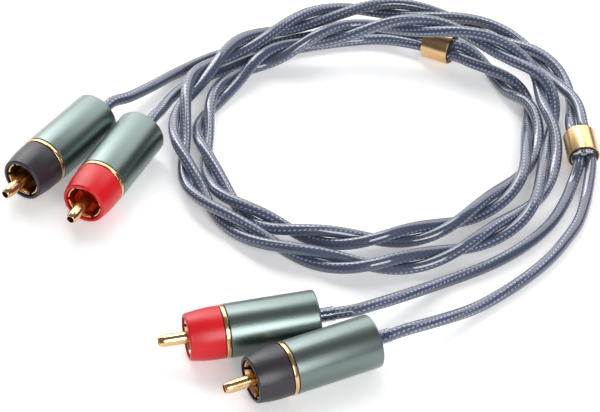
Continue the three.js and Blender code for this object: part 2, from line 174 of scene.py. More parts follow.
# The cords' routes in millimetres: x, y and the height above a cord that lies on the surface
ROUTES = {
    "a_black": [(-49, 45.2, 3.6), (-43.3, 52, 1.9), (-35, 62, 0), (-23.5, 70, 0), (-11, 74.5, 0),
                (2, 78.5, 0), (12, 80.5, 0), (21, 81, 0.5)],
    "a_red": [(-39.6, 38.5, 4.3), (-37, 46, 2.8), (-32, 54.8, 1), (-23, 62.5, 0), (-12, 69, 0),
              (0.5, 73.5, 0), (13.5, 76.5, 0), (24, 76.5, 0.5)],
    "b_red": [(17.5, -43, 4.5), (25.5, -37.3, 2.6), (37.5, -28.5, 0), (45, -24.5, 0), (52, -20, 0),
              (59.5, -13.5, 0), (66, -5.5, 0), (70.5, 3.5, 0), (73, 10.5, 0.3)],
    "b_black": [(37, -45.5, 2.5), (44.5, -39.5, 0.5), (51, -34, 0), (58.5, -27, 0), (65, -19.5, 0),
                (69.5, -12.5, 0), (73.5, -5, 0), (76.2, 4, 0)],
    "pair": [(53, 60, 0), (63, 43.5, 0), (59.2, 13.5, 0), (40.5, -6.5, 0), (18.5, -13.5, 0),
             (-3.5, -9.8, 0), (-19, 2, 0), (-27, 23, 0), (-26.5, 42, 0), (-15.5, 60.5, 0.5),
             (0.5, 68, 4), (21.5, 72, 7), (45.5, 65.5, 9.5), (65, 52, 5.5), (68.9, 32.7, 1),
             (61.5, 1, 0), (41, -17.5, 0), (17, -24, 0), (-6.5, -16.5, 0), (-25.5, 0, 0.5),
             (-33, 19.5, 2), (-33, 42, 4), (-24, 59.5, 4.5), (-8, 74, 4), (16, 88, 1.5), (43, 85.5, 0),
             (65, 69, 0.5), (74.8, 45, 2)],
}


def unit(v):
    """Vectors made one long."""
    return v / np.linalg.norm(v, axis=-1, keepdims=True)


def smooth_curve(knots):
    """Centripetal Catmull-Rom curve through knots of three or more numbers: between two knots a cubic
    whose end tangents follow the neighbours, with knots spaced by the square root of their distance. A
    tiny number added to each gap keeps it from being nought."""
    knots = np.asarray(knots, float)
    ends = np.vstack([2 * knots[:1] - knots[1:2], knots, 2 * knots[-1:] - knots[-2:-1]])
    p0, p1, p2, p3 = ends[:-3, None], ends[1:-2, None], ends[2:-1, None], ends[3:, None]
    gap = [np.sqrt(np.linalg.norm((b - a)[..., :3], axis=-1, keepdims=True)) + 1e-9
           for a, b in ((p0, p1), (p1, p2), (p2, p3))]
    start = ((p1 - p0) / gap[0] - (p2 - p0) / (gap[0] + gap[1]) + (p2 - p1) / gap[1]) * gap[1]
    end = ((p2 - p1) / gap[1] - (p3 - p1) / (gap[1] + gap[2]) + (p3 - p2) / gap[2]) * gap[1]
    t = np.linspace(0, 1, KNOT_SAMPLES, endpoint=False)[None, :, None]
    cubic = p1 + start * t + (3 * (p2 - p1) - 2 * start - end) * t**2
    cubic = cubic + (2 * (p1 - p2) + start + end) * t**3
    return np.vstack([cubic.reshape(-1, knots.shape[1]), knots[-1:]])


def arc_lengths(path):
    """Distance along a path at each of its points: the running sum of the steps between them."""
    return np.concatenate([[0], np.cumsum(np.linalg.norm(np.diff(path, axis=0), axis=1))])


def evenly_spaced(path, step):
    """The same path with points at even distances along it, about one step apart."""
    along = arc_lengths(path)
    wanted = np.linspace(0, along[-1], int(np.ceil(along[-1] / step)) + 1)
    return np.stack([np.interp(wanted, along, path[:, i]) for i in range(3)], 1)


def plug_axes(name):
    """Centre of the trim ring, and as rows the plug's directions to its side, along its pin and upwards,
    from the sine and cosine of its heading."""
    (x, y), heading, _, _ = PLUGS[name]
    turn = np.radians(heading)
    pin = np.array([np.cos(turn), np.sin(turn), 0])
    side = np.array([np.sin(turn), -np.cos(turn), 0])
    return np.array([x * mm, y * mm, PLUG_RADIUS]), np.array([side, pin, [0, 0, 1]])


def splitter_axes(end):
    """Middle of the splitter, and its directions towards the red strand, the plugs and upwards as rows."""
    (x, y), lift_mm, to_plugs, to_red = SPLITTERS[end]
    along = unit(np.array(to_plugs, float))
    up = unit(np.cross(np.array(to_red, float), along))
    middle = np.array([x * mm, y * mm, RING_RADIUS + lift_mm * mm])
    return middle, np.array([np.cross(along, up), along, up])


def placed(local, axes):
    """Local x, y, z in a plug's or splitter's axes as points of the whole cable: the origin, plus each
    number times its direction."""
    origin, directions = axes
    return origin + np.asarray(local, float) @ directions


def laid(route, radius):
    """Route points in metres, with a cord of this radius lying at height nought."""
    points = np.array(ROUTES[route], float) * mm
    points[:, 2] += radius + FLOOR_GAP
    return points


def split_stretch(name):
    """Centreline from the cut jacket inside the barrel, straight out through the strain sleeve, along the
    surface and through the ring."""
    _, _, colour, sleeve_out = PLUGS[name]
    exit_along = BARREL_REAR - sleeve_out - CORD_GAP
    side = STRAND_OFFSET if colour == "red" else -STRAND_OFFSET
    ring_end = RING_LENGTH / 2 + GLUE_PROUD
    leaving = placed([(0, exit_along, 0), (0, exit_along - STRAIGHT_RUN, 0)], plug_axes(name))
    stations = (ring_end + RING_STRAIGHT_RUN, ring_end, 0, -ring_end)
    entering = placed([(side, y, 0) for y in stations], splitter_axes(name[0]))
    outside = smooth_curve(np.vstack([leaving, laid(name, STRAND_RADIUS), entering]))
    return np.vstack([placed([(0, JACKET_FRONT, 0)], plug_axes(name)), outside])


def twisted_stretch():
    """Centrelines of the red and the black strand between the rings: both circle the pair's centreline,
    half a turn from each route point to the next, opposite each other and turning to the left."""
    start = -RING_LENGTH / 2 - GLUE_PROUD - CORD_GAP
    leaving = [(0, start, 0), (0, start - PAIR_STRAIGHT_RUN, 0)]
    from_a = placed(leaving, splitter_axes("a"))
    from_b = placed(leaving, splitter_axes("b"))
    centre = np.vstack([from_a, laid("pair", 2 * STRAND_RADIUS), from_b[::-1]])
    points = len(ROUTES["pair"])
    half_turns = [
        HALF_TURNS_AT_MOUTH, HALF_TURNS_OUTSIDE, *range(1, points + 1),
        points + 1 - HALF_TURNS_OUTSIDE, points + 1 - HALF_TURNS_AT_MOUTH,
    ]
    curve = smooth_curve(np.column_stack([centre, half_turns]))
    along = unit(np.gradient(curve[:, :3], axis=0))
    front = unit(TWIST_FRONT - (along @ TWIST_FRONT)[:, None] * along)
    across = np.cross(along, front)
    turn = np.pi * (curve[:, 3:] - 1)
    offset = STRAND_OFFSET * (np.cos(turn) * front - np.sin(turn) * across)
    return curve[:, :3] + offset, curve[:, :3] - offset


def grid_faces(rows, columns, wrap_rows, wrap_columns, caps=False):
    """Quads between neighbours of a grid; caps close the first and the last row with one face each."""
    r, c = np.meshgrid(
        np.arange(rows if wrap_rows else rows - 1),
        np.arange(columns if wrap_columns else columns - 1),
        indexing="ij",
    )
    r2, c2 = (r + 1) % rows, (c + 1) % columns
    corners = [r * columns + c, r * columns + c2, r2 * columns + c2, r2 * columns + c]
    faces = np.stack(corners, -1).reshape(-1, 4).tolist()
    if caps:
        faces.append(list(range(columns))[::-1])
        faces.append(list(range((rows - 1) * columns, rows * columns)))
    return faces


def map_round(mesh, name, v, sides, caps=False):
    """A UV map for a grid that closes on itself: u is once round, and v is given for each row. A cap has
    no map, and takes one point of it."""
    row, column = np.meshgrid(np.arange(len(v) - 1), np.arange(sides), indexing="ij")
    u0, u1, v0, v1 = column / sides, (column + 1) / sides, v[row], v[row + 1]
    quads = np.stack([u0, v0, u1, v0, u1, v1, u0, v1], -1).reshape(-1)
    ends = np.tile([0.5, 0.0], 2 * sides if caps else 0)
    layer = mesh.uv_layers.new(name=name)
    layer.data.foreach_set("uv", np.concatenate([quads, ends]).astype(np.float32))


def tube(name, path, radius, sides):
    """A round tube: at each path point a circle across the path, the radius times the cosine of the angle
    sideways and its sine upwards. The UV map's v is the distance along in millimetres."""
    along = unit(np.gradient(path, axis=0))
    across = unit(np.cross([0, 0, 1], along))
    above = np.cross(along, across)
    angle = np.linspace(0, 2 * np.pi, sides, endpoint=False)[None, :, None]
    circle = np.cos(angle) * across[:, None] + np.sin(angle) * above[:, None]
    points = path[:, None] + radius * circle
    faces = grid_faces(len(path), sides, False, True, caps=True)
    mesh = bpy.data.meshes.new(name)
    mesh.from_pydata(points.reshape(-1, 3).tolist(), [], faces)
    map_round(mesh, "braid", arc_lengths(path) / mm, sides, caps=True)
    return mesh


def add_piece(name, mesh, material, slot, *stands_for):
    """Makes a finished mesh a piece of this material, shaded smooth between sharp corners."""
    mesh.materials.append(material)
    mesh.polygons.foreach_set("use_smooth", np.ones(len(mesh.polygons), bool))
    mesh.set_sharp_from_angle(angle=SHARP_ANGLE)
    piece = bpy.data.objects.new(name, mesh)
    bpy.context.scene.collection.objects.link(piece)
    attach(piece, "root")
    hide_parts(*stands_for)
    return piece


# Over three quarters of its girth the braid carries rows of pale tracer dashes, one every 1.3 mm, each row
# half a pitch off the next and leaning the other way. The rest shows its plain herringbone. The pattern
# winds slowly round the strand. The threads are really 0.15 mm wide, and are drawn as ribs of 0.65 mm,
# which still show. A dash's width is a share of its row's, and its length and lean are shares of the pitch.
BRAID_DARK = "2d364c"
BRAID_LIGHT = "525c79"
TRACER = "9aa1b5"
DASH_PITCH_MM = 1.3
DASH_ROWS_ROUND = 8
DASHED_SHARE = 6 / 8
DASH_WIDTH = 0.38
DASH_LENGTH = 0.5
DASH_LEAN = 0.7
WEAVE_ACROSS = 0.7
RIB_PITCH_MM = 1.3
RIB_SLANT = 1.0
RIB_MEAN = 0.4
RIB_SWING = 0.25
PATTERN_TURN_MM = 156
PATTERN_START = 0.23


def braid_material():
    """Braided textile under clear PVC: matt threads, and over them a hard clear gloss with long
    highlights."""
    material, tree = new_material("braided_textile_under_clear_pvc")
    place = add_node(tree, "ShaderNodeUVMap", uv_map="braid")
    parts = add_node(tree, "ShaderNodeSeparateXYZ", {0: place.outputs[0]})

    def math(operation, first, second=0.0, third=0.0):
        inputs = {0: first, 1: second, 2: third}
        return add_node(tree, "ShaderNodeMath", inputs, operation=operation).outputs[0]

    def from_middle(socket):
        return math("SUBTRACT", math("FRACT", socket), 0.5)

    # A Mix node's input 0 is the share of the second thing, 2 and 3 are numbers, and 6 and 7 are colours
    def mixed(share, first, second):
        inputs = {0: share, 6: first, 7: second}
        return add_node(tree, "ShaderNodeMix", inputs, data_type="RGBA").outputs[2]

    along = parts.outputs["Y"]
    wound = math("MULTIPLY_ADD", along, 1 / PATTERN_TURN_MM, parts.outputs["X"])
    turned_round = math("ADD", wound, PATTERN_START)
    side = math("FRACT", turned_round)
    dashed_side = math("LESS_THAN", side, DASHED_SHARE)

    # Dashes: rows along the strand, the odd ones half a pitch on and leaning back
    rows = math("MULTIPLY", turned_round, DASH_ROWS_ROUND)
    odd_row = math("MODULO", math("FLOOR", rows), 2.0)
    across_row = from_middle(rows)
    lean = math("MULTIPLY", across_row, math("MULTIPLY_ADD", odd_row, -2 * DASH_LEAN, DASH_LEAN))
    shifted = math("MULTIPLY_ADD", odd_row, 0.5, math("MULTIPLY", along, 1 / DASH_PITCH_MM))
    along_dash = from_middle(math("ADD", shifted, lean))
    narrow = math("LESS_THAN", math("ABSOLUTE", across_row), DASH_WIDTH / 2)
    short = math("LESS_THAN", math("ABSOLUTE", along_dash), DASH_LENGTH / 2)
    dashes = math("MULTIPLY", math("MULTIPLY", narrow, short), dashed_side)

    # Herringbone: ribs that slant away to both sides of the plain part's middle
    from_rib = math("ABSOLUTE", math("SUBTRACT", side, (1 + DASHED_SHARE) / 2))
    slanted = math("MULTIPLY_ADD", from_rib, RIB_SLANT * 2 * np.pi * STRAND_RADIUS / mm, along)
    ribs = math("COSINE", math("MULTIPLY", slanted, 2 * np.pi / RIB_PITCH_MM))
    ribs = math("MULTIPLY_ADD", ribs, RIB_SWING, RIB_MEAN)

    # Shade: the ribs there, and the weave between the dashes elsewhere, paler away from each dash
    far_along = math("ABSOLUTE", along_dash)
    weave = math("MULTIPLY_ADD", math("ABSOLUTE", across_row), WEAVE_ACROSS, far_along)
    shade = add_node(tree, "ShaderNodeMix", {0: dashed_side, 2: ribs, 3: weave}).outputs[0]
    threads = mixed(shade, linear(BRAID_DARK), linear(BRAID_LIGHT))
    shader = add_node(tree, "ShaderNodeBsdfPrincipled", {
        "Base Color": mixed(dashes, threads, linear(TRACER)),
        "Roughness": 0.5,
        "Coat Weight": 1.0,
        "Coat Roughness": 0.06,
        "Coat IOR": 1.65,
    })
    finish_material(tree, shader)
    return material


braid = braid_material()
red_twist, black_twist = twisted_stretch()
strands = {}
for colour, twist in (("red", red_twist), ("black", black_twist)):
    name = colour + "_strand"
    path = np.vstack([split_stretch("a_" + colour), twist, split_stretch("b_" + colour)[::-1]])
    path = evenly_spaced(path, STRAND_STEP)
    mesh = tube(name, path, STRAND_RADIUS, STRAND_SIDES)
    stands_for = ["a_" + name, "b_" + name, "twisted_pair"]
    strands[colour] = (add_piece(name, mesh, braid, "braid", *stands_for), path)

# Barrels
# A turned aluminium sleeve that screws onto the shell's neck, bead blasted and anodised grey-green. Its
# rear wall has a hole for the strain sleeve.
BARREL_FRONT = -0.75 * mm
BARREL_WALL = 0.8 * mm
BARREL_REAR_WALL = 1.5 * mm
BARREL_EDGE = 0.5 * mm
BARREL_MOUTH_EDGE = 0.15 * mm
BARREL_HOLE_RADIUS = 2.2 * mm
BROKEN_EDGE = 0.1 * mm
EASED_EDGE = 0.2 * mm
EDGE_STEPS = 6
PLUG_SIDES = 96
ANODISED = "6c7b78"
BLASTED_GRAIN_MM = 0.4
BLASTED_DEPTH_MM = 0.045


def eased(corners, steps=EDGE_STEPS):
    """A closed outline of radius, place along and size of edge, with each corner made a small quadratic
    curve between the two points that lie the size of its edge away from it."""
    corners = np.array(corners, float)
    point, size = corners[:, :2], corners[:, 2:]
    start = point + size * unit(np.roll(point, 1, 0) - point)
    end = point + size * unit(np.roll(point, -1, 0) - point)
    t = np.linspace(0, 1, steps)[None, :, None]
    curve = (1 - t) ** 2 * start[:, None] + 2 * t * (1 - t) * point[:, None] + t**2 * end[:, None]
    return curve.reshape(-1, 2)


def round_axis(radius, angle, along, axes):
    """Points round a plug's or splitter's second axis: the radius times the sine of the angle sideways,
    and times its cosine upwards."""
    local = np.broadcast_arrays(radius * np.sin(angle), along, radius * np.cos(angle))
    return placed(np.stack(local, -1).reshape(-1, 3), axes).tolist()


def turned(name, outline, axes, sides=PLUG_SIDES):
    """A closed outline turned about the second axis. The outline runs forwards up the outside and back
    down the bore, and the UV map's v is the distance along it in millimetres."""
    angle = np.linspace(0, 2 * np.pi, sides, endpoint=False)[None]
    mesh = bpy.data.meshes.new(name)
    points = round_axis(outline[:, :1], angle, outline[:, 1:], axes)
    mesh.from_pydata(points, [], grid_faces(len(outline), sides, True, True))
    map_round(mesh, "surface", arc_lengths(np.vstack([outline, outline[:1]])) / mm, sides)
    return mesh


def relief(tree, size_mm, detail, strength, depth_mm):
    """The bent normal of a fine relief: noise on the piece's own coordinates, with grains of this size."""
    place = add_node(tree, "ShaderNodeTexCoord")
    grain = add_node(tree, "ShaderNodeTexNoise", {
        "Vector": place.outputs["Object"], "Scale": 1 / (size_mm * mm), "Detail": detail,
    })
    bump = add_node(tree, "ShaderNodeBump", {
        "Strength": strength, "Distance": depth_mm * mm, "Height": grain.outputs[0],
    })
    return bump.outputs[0]


def anodised_material():
    """Bead-blasted anodised aluminium: a satin metal with soft broad highlights, a little whiter where
    the clear oxide on top reflects too, and an even grain. The real grain is about 0.1 mm, drawn
    coarser."""
    material, tree = new_material("blasted_anodised_aluminium")
    grain = relief(tree, BLASTED_GRAIN_MM, detail=2.0, strength=0.7, depth_mm=BLASTED_DEPTH_MM)
    shader = add_node(tree, "ShaderNodeBsdfPrincipled", {
        "Base Color": linear(ANODISED), "Metallic": 1.0, "Roughness": 0.36, "Normal": grain,
        "Coat Weight": 0.6, "Coat Roughness": 0.3, "Coat IOR": 1.65,
    })
    finish_material(tree, shader)
    return material


anodised = anodised_material()
barrel_outline = eased([
    (BARREL_HOLE_RADIUS, BARREL_REAR, BROKEN_EDGE),
    (PLUG_RADIUS, BARREL_REAR, BARREL_EDGE),
    (PLUG_RADIUS, BARREL_FRONT, BARREL_MOUTH_EDGE),
    (PLUG_RADIUS - BARREL_WALL, BARREL_FRONT, BARREL_MOUTH_EDGE),
    (PLUG_RADIUS - BARREL_WALL, BARREL_REAR + BARREL_REAR_WALL, EASED_EDGE),
    (BARREL_HOLE_RADIUS, BARREL_REAR + BARREL_REAR_WALL, BROKEN_EDGE),
])
for plug in PLUGS:
    name = plug + "_turned_barrel"
    mesh = turned(name, barrel_outline, plug_axes(plug))
    add_piece(name, mesh, anodised, "barrel", plug + "_barrel")

# Trim rings
# A turned brass ring between barrel and boot, polished and gold plated, with small bevels on its rims.
# The boot's bore and the ring's are the same.
TRIM_FRONT = 0.55 * mm
TRIM_EDGE = 0.25 * mm
BOOT_BORE_RADIUS = 5.2 * mm
GOLD = "e4be8a"
TURNING_MARK_MM = 0.8


def gold_material(name, polished, dull):
    """Gold-plated turned brass: a warm metal, a little duller and brighter in rings where the lathe left
    its marks, which are really about 0.1 mm apart and are drawn coarser."""
    material, tree = new_material(name)
    place = add_node(tree, "ShaderNodeUVMap", uv_map="surface")
    parts = add_node(tree, "ShaderNodeSeparateXYZ", {0: place.outputs[0]})
    marks = add_node(
        tree, "ShaderNodeTexNoise",
        {"W": parts.outputs["Y"], "Scale": 1 / TURNING_MARK_MM, "Detail": 0.0},
        noise_dimensions="1D",
    )
    polish = add_node(
        tree, "ShaderNodeMapRange",
        {"Value": marks.outputs[0], "To Min": polished, "To Max": dull},
    )
    shader = add_node(tree, "ShaderNodeBsdfPrincipled", {
        "Base Color": linear(GOLD), "Metallic": 1.0, "Roughness": polish.outputs[0],
    })
    finish_material(tree, shader)
    return material


gold = gold_material("gold_plated_turned_brass", polished=0.19, dull=0.23)
trim_outline = eased([
    (BOOT_BORE_RADIUS, -TRIM_FRONT, TRIM_EDGE / 2),
    (PLUG_RADIUS, -TRIM_FRONT, TRIM_EDGE),
    (PLUG_RADIUS, TRIM_FRONT, TRIM_EDGE),
    (BOOT_BORE_RADIUS, TRIM_FRONT, TRIM_EDGE / 2),
])
for plug in PLUGS:
    name = plug + "_turned_trim"
    mesh = turned(name, trim_outline, plug_axes(plug))
    add_piece(name, mesh, gold, "gold", plug + "_trim_ring")

# Boots
# An injection-moulded ABS sleeve pressed over the shell, red or black for the channel. It tapers towards
# its round-edged mouth, with a slight belly.
BOOT_REAR = 0.75 * mm
BOOT_FRONT = 9.75 * mm
BOOT_REAR_RADIUS = 6.8 * mm
BOOT_FRONT_RADIUS = 6.1 * mm
BOOT_BULGE = 0.25 * mm
BOOT_EDGE = 0.5 * mm
BOOT_STATIONS = 16
BOOT_EDGE_STEPS = 8
BOOT_COLOURS = {"red": "dc101d", "black": "2f2c32"}
MOULD_GRAIN_MM = 0.6
MOULD_DEPTH_MM = 0.08


def moulded_material(name, colour):
    """Moulded plastic: an even colour under a soft gloss, with the faint ripple of the mould's polish."""
    material, tree = new_material(name)
    ripple = relief(tree, MOULD_GRAIN_MM, detail=3.0, strength=0.7, depth_mm=MOULD_DEPTH_MM)
    shader = add_node(tree, "ShaderNodeBsdfPrincipled", {
        "Base Color": linear(colour), "Roughness": 0.36, "IOR": 1.48, "Normal": ripple,
    })
    finish_material(tree, shader)
    return material


def boot_section():
    """From rear to front the radius falls in a straight line, plus half a sine wave of the bulge's
    height; then it goes round the mouth's edge in a quarter circle and back along the bore."""
    t = np.linspace(0, 1, BOOT_STATIONS)
    taper = (BOOT_FRONT_RADIUS - BOOT_REAR_RADIUS) * t
    side = np.stack([
        BOOT_REAR_RADIUS + taper + BOOT_BULGE * np.sin(np.pi * t),
        BOOT_REAR + (BOOT_FRONT - BOOT_EDGE - BOOT_REAR) * t,
    ], 1)
    turn = np.linspace(0, np.pi / 2, BOOT_EDGE_STEPS)[1:]
    mouth = np.stack([
        BOOT_FRONT_RADIUS - BOOT_EDGE + BOOT_EDGE * np.cos(turn),
        BOOT_FRONT - BOOT_EDGE + BOOT_EDGE * np.sin(turn),
    ], 1)
    bore = np.array([(BOOT_BORE_RADIUS, BOOT_FRONT), (BOOT_BORE_RADIUS, BOOT_REAR)])
    return np.vstack([side, mouth, bore])


boot_plastic = {c: moulded_material(c + "_moulded_abs", BOOT_COLOURS[c]) for c in BOOT_COLOURS}
boot_outline = boot_section()
for plug, (_, _, colour, _) in PLUGS.items():
    name = plug + "_moulded_boot"
    mesh = turned(name, boot_outline, plug_axes(plug))
    add_piece(name, mesh, boot_plastic[colour], "boot_" + colour, plug + "_boot")

# Ground shells
# One piece turned from gold-plated brass: a neck that screws into the barrel, a collar for the trim ring
# and the boot, and a thin tube whose flared lip is sawn into six sprung fingers.
NECK_REAR = -6.95 * mm
NECK_FRONT = -0.95 * mm
NECK_RADIUS = 6.0 * mm
NECK_BORE_RADIUS = 3.4 * mm
COLLAR_RADIUS = 5.0 * mm
INSULATOR_SEAT = -2.95 * mm
SHELL_BORE_RADIUS = 4.1 * mm
SHELL_WALL = 0.45 * mm
SHELL_RADIUS = SHELL_BORE_RADIUS + SHELL_WALL
LIP_FLARE = 0.45 * mm
LIP_FRONT = 9.25 * mm
LIP_LENGTH = 1.6 * mm
LIP_BEND = 0.5 * mm
LIP_KNEE = 0.3 * mm
SLOT_REAR = 3.25 * mm
SLOT_COUNT = 6
SLOT_WIDTH = 1.0 * mm
SAWN_EDGE = 0.02 * mm
FINGER_OVERLAP = 0.3 * mm
FINGER_COLUMNS = 14


def fingers(name, outline, axes):
    """Six sectors of a turned outline between parallel saw cuts: at each radius a cut takes the arc sine
    of half its width over that radius off each side of the sector. The UV map is the angle in turns, and
    the distance along the outline in millimetres."""
    radius, along = outline[:, :1], outline[:, 1:]
    cut = np.arcsin(SLOT_WIDTH / 2 / radius)
    share = np.linspace(0, 1, FINGER_COLUMNS)[None]
    sector = 2 * np.pi / SLOT_COUNT
    finger = np.arange(SLOT_COUNT)[:, None, None]
    angle = cut + (sector - 2 * cut) * share + sector * (finger - 0.5)
    rows = len(outline)
    quads = np.array(grid_faces(rows, FINGER_COLUMNS, True, False))
    first_side = FINGER_COLUMNS * np.arange(rows)
    last_side = first_side[::-1] + FINGER_COLUMNS - 1
    shift = rows * FINGER_COLUMNS * finger
    faces = (quads + shift).reshape(-1, 4).tolist()
    faces += (np.array([first_side, last_side]) + shift).reshape(-1, rows).tolist()
    mesh = bpy.data.meshes.new(name)
    mesh.from_pydata(round_axis(radius, angle, along, axes), [], faces)
    v = arc_lengths(outline)[None, :, None] / mm
    place = np.stack(np.broadcast_arrays(angle / (2 * np.pi), v), -1).reshape(-1, 2)
    corner = np.empty(len(mesh.loops), np.int32)
    mesh.loops.foreach_get("vertex_index", corner)
    layer = mesh.uv_layers.new(name="surface")
    layer.data.foreach_set("uv", place[corner].astype(np.float32).reshape(-1))
    return mesh


def joined(name, meshes):
    """One mesh of several, each with its own closed surfaces."""
    whole = bmesh.new()
    for mesh in meshes:
        whole.from_mesh(mesh)
    made = bpy.data.meshes.new(name)
    whole.to_mesh(made)
    whole.free()
    return made


shell_outline = eased([
    (NECK_BORE_RADIUS, NECK_REAR, BROKEN_EDGE),
    (NECK_RADIUS, NECK_REAR, EASED_EDGE),
    (NECK_RADIUS, NECK_FRONT, BROKEN_EDGE),
    (COLLAR_RADIUS, NECK_FRONT, BROKEN_EDGE),
    (COLLAR_RADIUS, SLOT_REAR - SHELL_WALL - LIP_FLARE, BROKEN_EDGE),
    (SHELL_RADIUS, SLOT_REAR - SHELL_WALL, BROKEN_EDGE),
    (SHELL_RADIUS, SLOT_REAR, SAWN_EDGE),
    (SHELL_BORE_RADIUS, SLOT_REAR, SAWN_EDGE),
    (SHELL_BORE_RADIUS, INSULATOR_SEAT, BROKEN_EDGE),
    (NECK_BORE_RADIUS, INSULATOR_SEAT, BROKEN_EDGE),
], steps=4)
finger_outline = eased([
    (SHELL_RADIUS, SLOT_REAR - FINGER_OVERLAP, SAWN_EDGE),
    (SHELL_RADIUS, LIP_FRONT - LIP_LENGTH, LIP_BEND),
    (SHELL_RADIUS + LIP_FLARE, LIP_FRONT - SHELL_WALL, LIP_KNEE),
    (SHELL_RADIUS + LIP_FLARE, LIP_FRONT, SHELL_WALL / 2),
    (SHELL_BORE_RADIUS + LIP_FLARE, LIP_FRONT, SHELL_WALL / 2),
    (SHELL_BORE_RADIUS, LIP_FRONT - LIP_LENGTH, LIP_BEND),
    (SHELL_BORE_RADIUS, SLOT_REAR - FINGER_OVERLAP, SAWN_EDGE),
], steps=5)
for plug in PLUGS:
    name = plug + "_slotted_shell"
    body = turned("shell_body", shell_outline, plug_axes(plug))
    sawn_tube = fingers("shell_fingers", finger_outline, plug_axes(plug))
    add_piece(name, joined(name, [body, sawn_tube]), gold, "gold", plug + "_ground_shell")

# Centre pins and insulators
# A hollow pin turned from gold-plated brass, with a tapered nose, a collar and a solder cup behind. It sits
# in a bush of moulded nylon, red in the red plugs and in the black ones a warm brown that is painted glow
# of the gold shell round it, and the bush fills the shell behind the saw cuts.
PIN_RADIUS = 1.6 * mm
PIN_TIP = 16.95 * mm
PIN_NOSE = 1.2 * mm
PIN_NOSE_RADIUS = 1.2 * mm
PIN_SHOULDER = 0.7 * mm
PIN_BORE_RADIUS = 1.0 * mm
PIN_BORE_DEPTH = 7 * mm
PIN_BORE_EDGE = 0.08 * mm
PIN_COLLAR_RADIUS = 2.4 * mm
COLLAR_FRONT = -2.95 * mm
COLLAR_REAR = -3.75 * mm
CUP_REAR = -9.25 * mm
CUP_RADIUS = 1.3 * mm
CUP_BORE_RADIUS = 0.8 * mm
CUP_DEPTH = 3.5 * mm
PIN_SIDES = 64
FINE_EDGE = 0.05 * mm
INSULATOR_REAR = -2.75 * mm
INSULATOR_FRONT = 3.25 * mm
INSULATOR_GAP = 0.1 * mm
INSULATOR_EDGE = 0.4 * mm
# The red is the nylon's own colour; the brown of the black plugs is painted warm light, not their black
# nylon
BUSH_COLOURS_AND_PAINTED_GLOW = {"red": "ff2c1e", "black": "4a2c16"}

# What is solid to its axis keeps a hole of 0.02 mm radius there, too fine to see, so that it closes as
# the other turned pieces do
AXIS_HOLE = 0.02 * mm
AXIS_EDGE = 0.005 * mm

pin_outline = eased([
    (AXIS_HOLE, CUP_REAR + CUP_DEPTH, AXIS_EDGE),
    (CUP_BORE_RADIUS, CUP_REAR + CUP_DEPTH, FINE_EDGE),
    (CUP_BORE_RADIUS, CUP_REAR, FINE_EDGE),
    (CUP_RADIUS, CUP_REAR, BROKEN_EDGE),
    (CUP_RADIUS, COLLAR_REAR, FINE_EDGE),
    (PIN_COLLAR_RADIUS, COLLAR_REAR, BROKEN_EDGE),
    (PIN_COLLAR_RADIUS, COLLAR_FRONT, BROKEN_EDGE),
    (PIN_RADIUS, COLLAR_FRONT, FINE_EDGE),
    (PIN_RADIUS, PIN_TIP - PIN_NOSE, PIN_SHOULDER),
    (PIN_NOSE_RADIUS, PIN_TIP, EASED_EDGE),
    (PIN_BORE_RADIUS, PIN_TIP, PIN_BORE_EDGE),
    (PIN_BORE_RADIUS, PIN_TIP - PIN_BORE_DEPTH, BROKEN_EDGE),
    (AXIS_HOLE, PIN_TIP - PIN_BORE_DEPTH, AXIS_EDGE),
])
insulator_outline = eased([
    (PIN_RADIUS + INSULATOR_GAP, INSULATOR_REAR, BROKEN_EDGE),
    (SHELL_BORE_RADIUS - INSULATOR_GAP, INSULATOR_REAR, EASED_EDGE),
    (SHELL_BORE_RADIUS - INSULATOR_GAP, INSULATOR_FRONT, INSULATOR_EDGE),
    (PIN_RADIUS + INSULATOR_GAP, INSULATOR_FRONT, BROKEN_EDGE),
])
nylon = {c: moulded_material(c + "_moulded_nylon", BUSH_COLOURS_AND_PAINTED_GLOW[c]) for c in BUSH_COLOURS_AND_PAINTED_GLOW}
for plug, (_, _, colour, _) in PLUGS.items():
    name = plug + "_turned_pin"
    mesh = turned(name, pin_outline, plug_axes(plug), PIN_SIDES)
    add_piece(name, mesh, gold, "gold", plug + "_centre_pin")
    name = plug + "_moulded_bush"
    mesh = turned(name, insulator_outline, plug_axes(plug), PIN_SIDES)
    add_piece(name, mesh, nylon[colour], "insulator_" + colour, plug + "_insulator")

# Strain sleeves
# A short piece of clear PVC tube over the strand, pushed a few millimetres into the barrel. It keeps the
# strand from kinking where it leaves.
SLEEVE_BORE_RADIUS = 1.7 * mm
SLEEVE_RADIUS = 2.0 * mm
SLEEVE_INSIDE = 3.5 * mm
SLEEVE_SIDES = 48
CLEAR_PVC = "e6eaf2"
CLEAR_RIPPLE_MM = 1.0


def tube_outline(bore_radius, radius, rear, front, edge):
    """A square-cut tube's section, with its four edges eased alike."""
    return eased([
        (bore_radius, rear, edge), (radius, rear, edge),
        (radius, front, edge), (bore_radius, front, edge),
    ])


def clear_material(name, colour, roughness, ior):
    """A clear plastic: light passes through and bends, and the surface gives small sharp glints."""
    material, tree = new_material(name)
    ripple = relief(tree, CLEAR_RIPPLE_MM, detail=2.0, strength=0.2, depth_mm=0.05)
    shader = add_node(tree, "ShaderNodeBsdfPrincipled", {
        "Base Color": linear(colour), "Roughness": roughness, "IOR": ior,
        "Transmission Weight": 1.0, "Normal": ripple,
    })
    finish_material(tree, shader)
    return material


clear_pvc = clear_material("clear_pvc_tube", CLEAR_PVC, roughness=0.05, ior=1.45)
for plug, (_, _, _, sleeve_out) in PLUGS.items():
    name = plug + "_clear_sleeve"
    rear, front = BARREL_REAR - sleeve_out, BARREL_REAR + SLEEVE_INSIDE
    sleeve_outline = tube_outline(SLEEVE_BORE_RADIUS, SLEEVE_RADIUS, rear, front, BROKEN_EDGE)
    mesh = turned(name, sleeve_outline, plug_axes(plug), SLEEVE_SIDES)
    add_piece(name, mesh, clear_pvc, "clear_sleeve", plug + "_strain_sleeve")

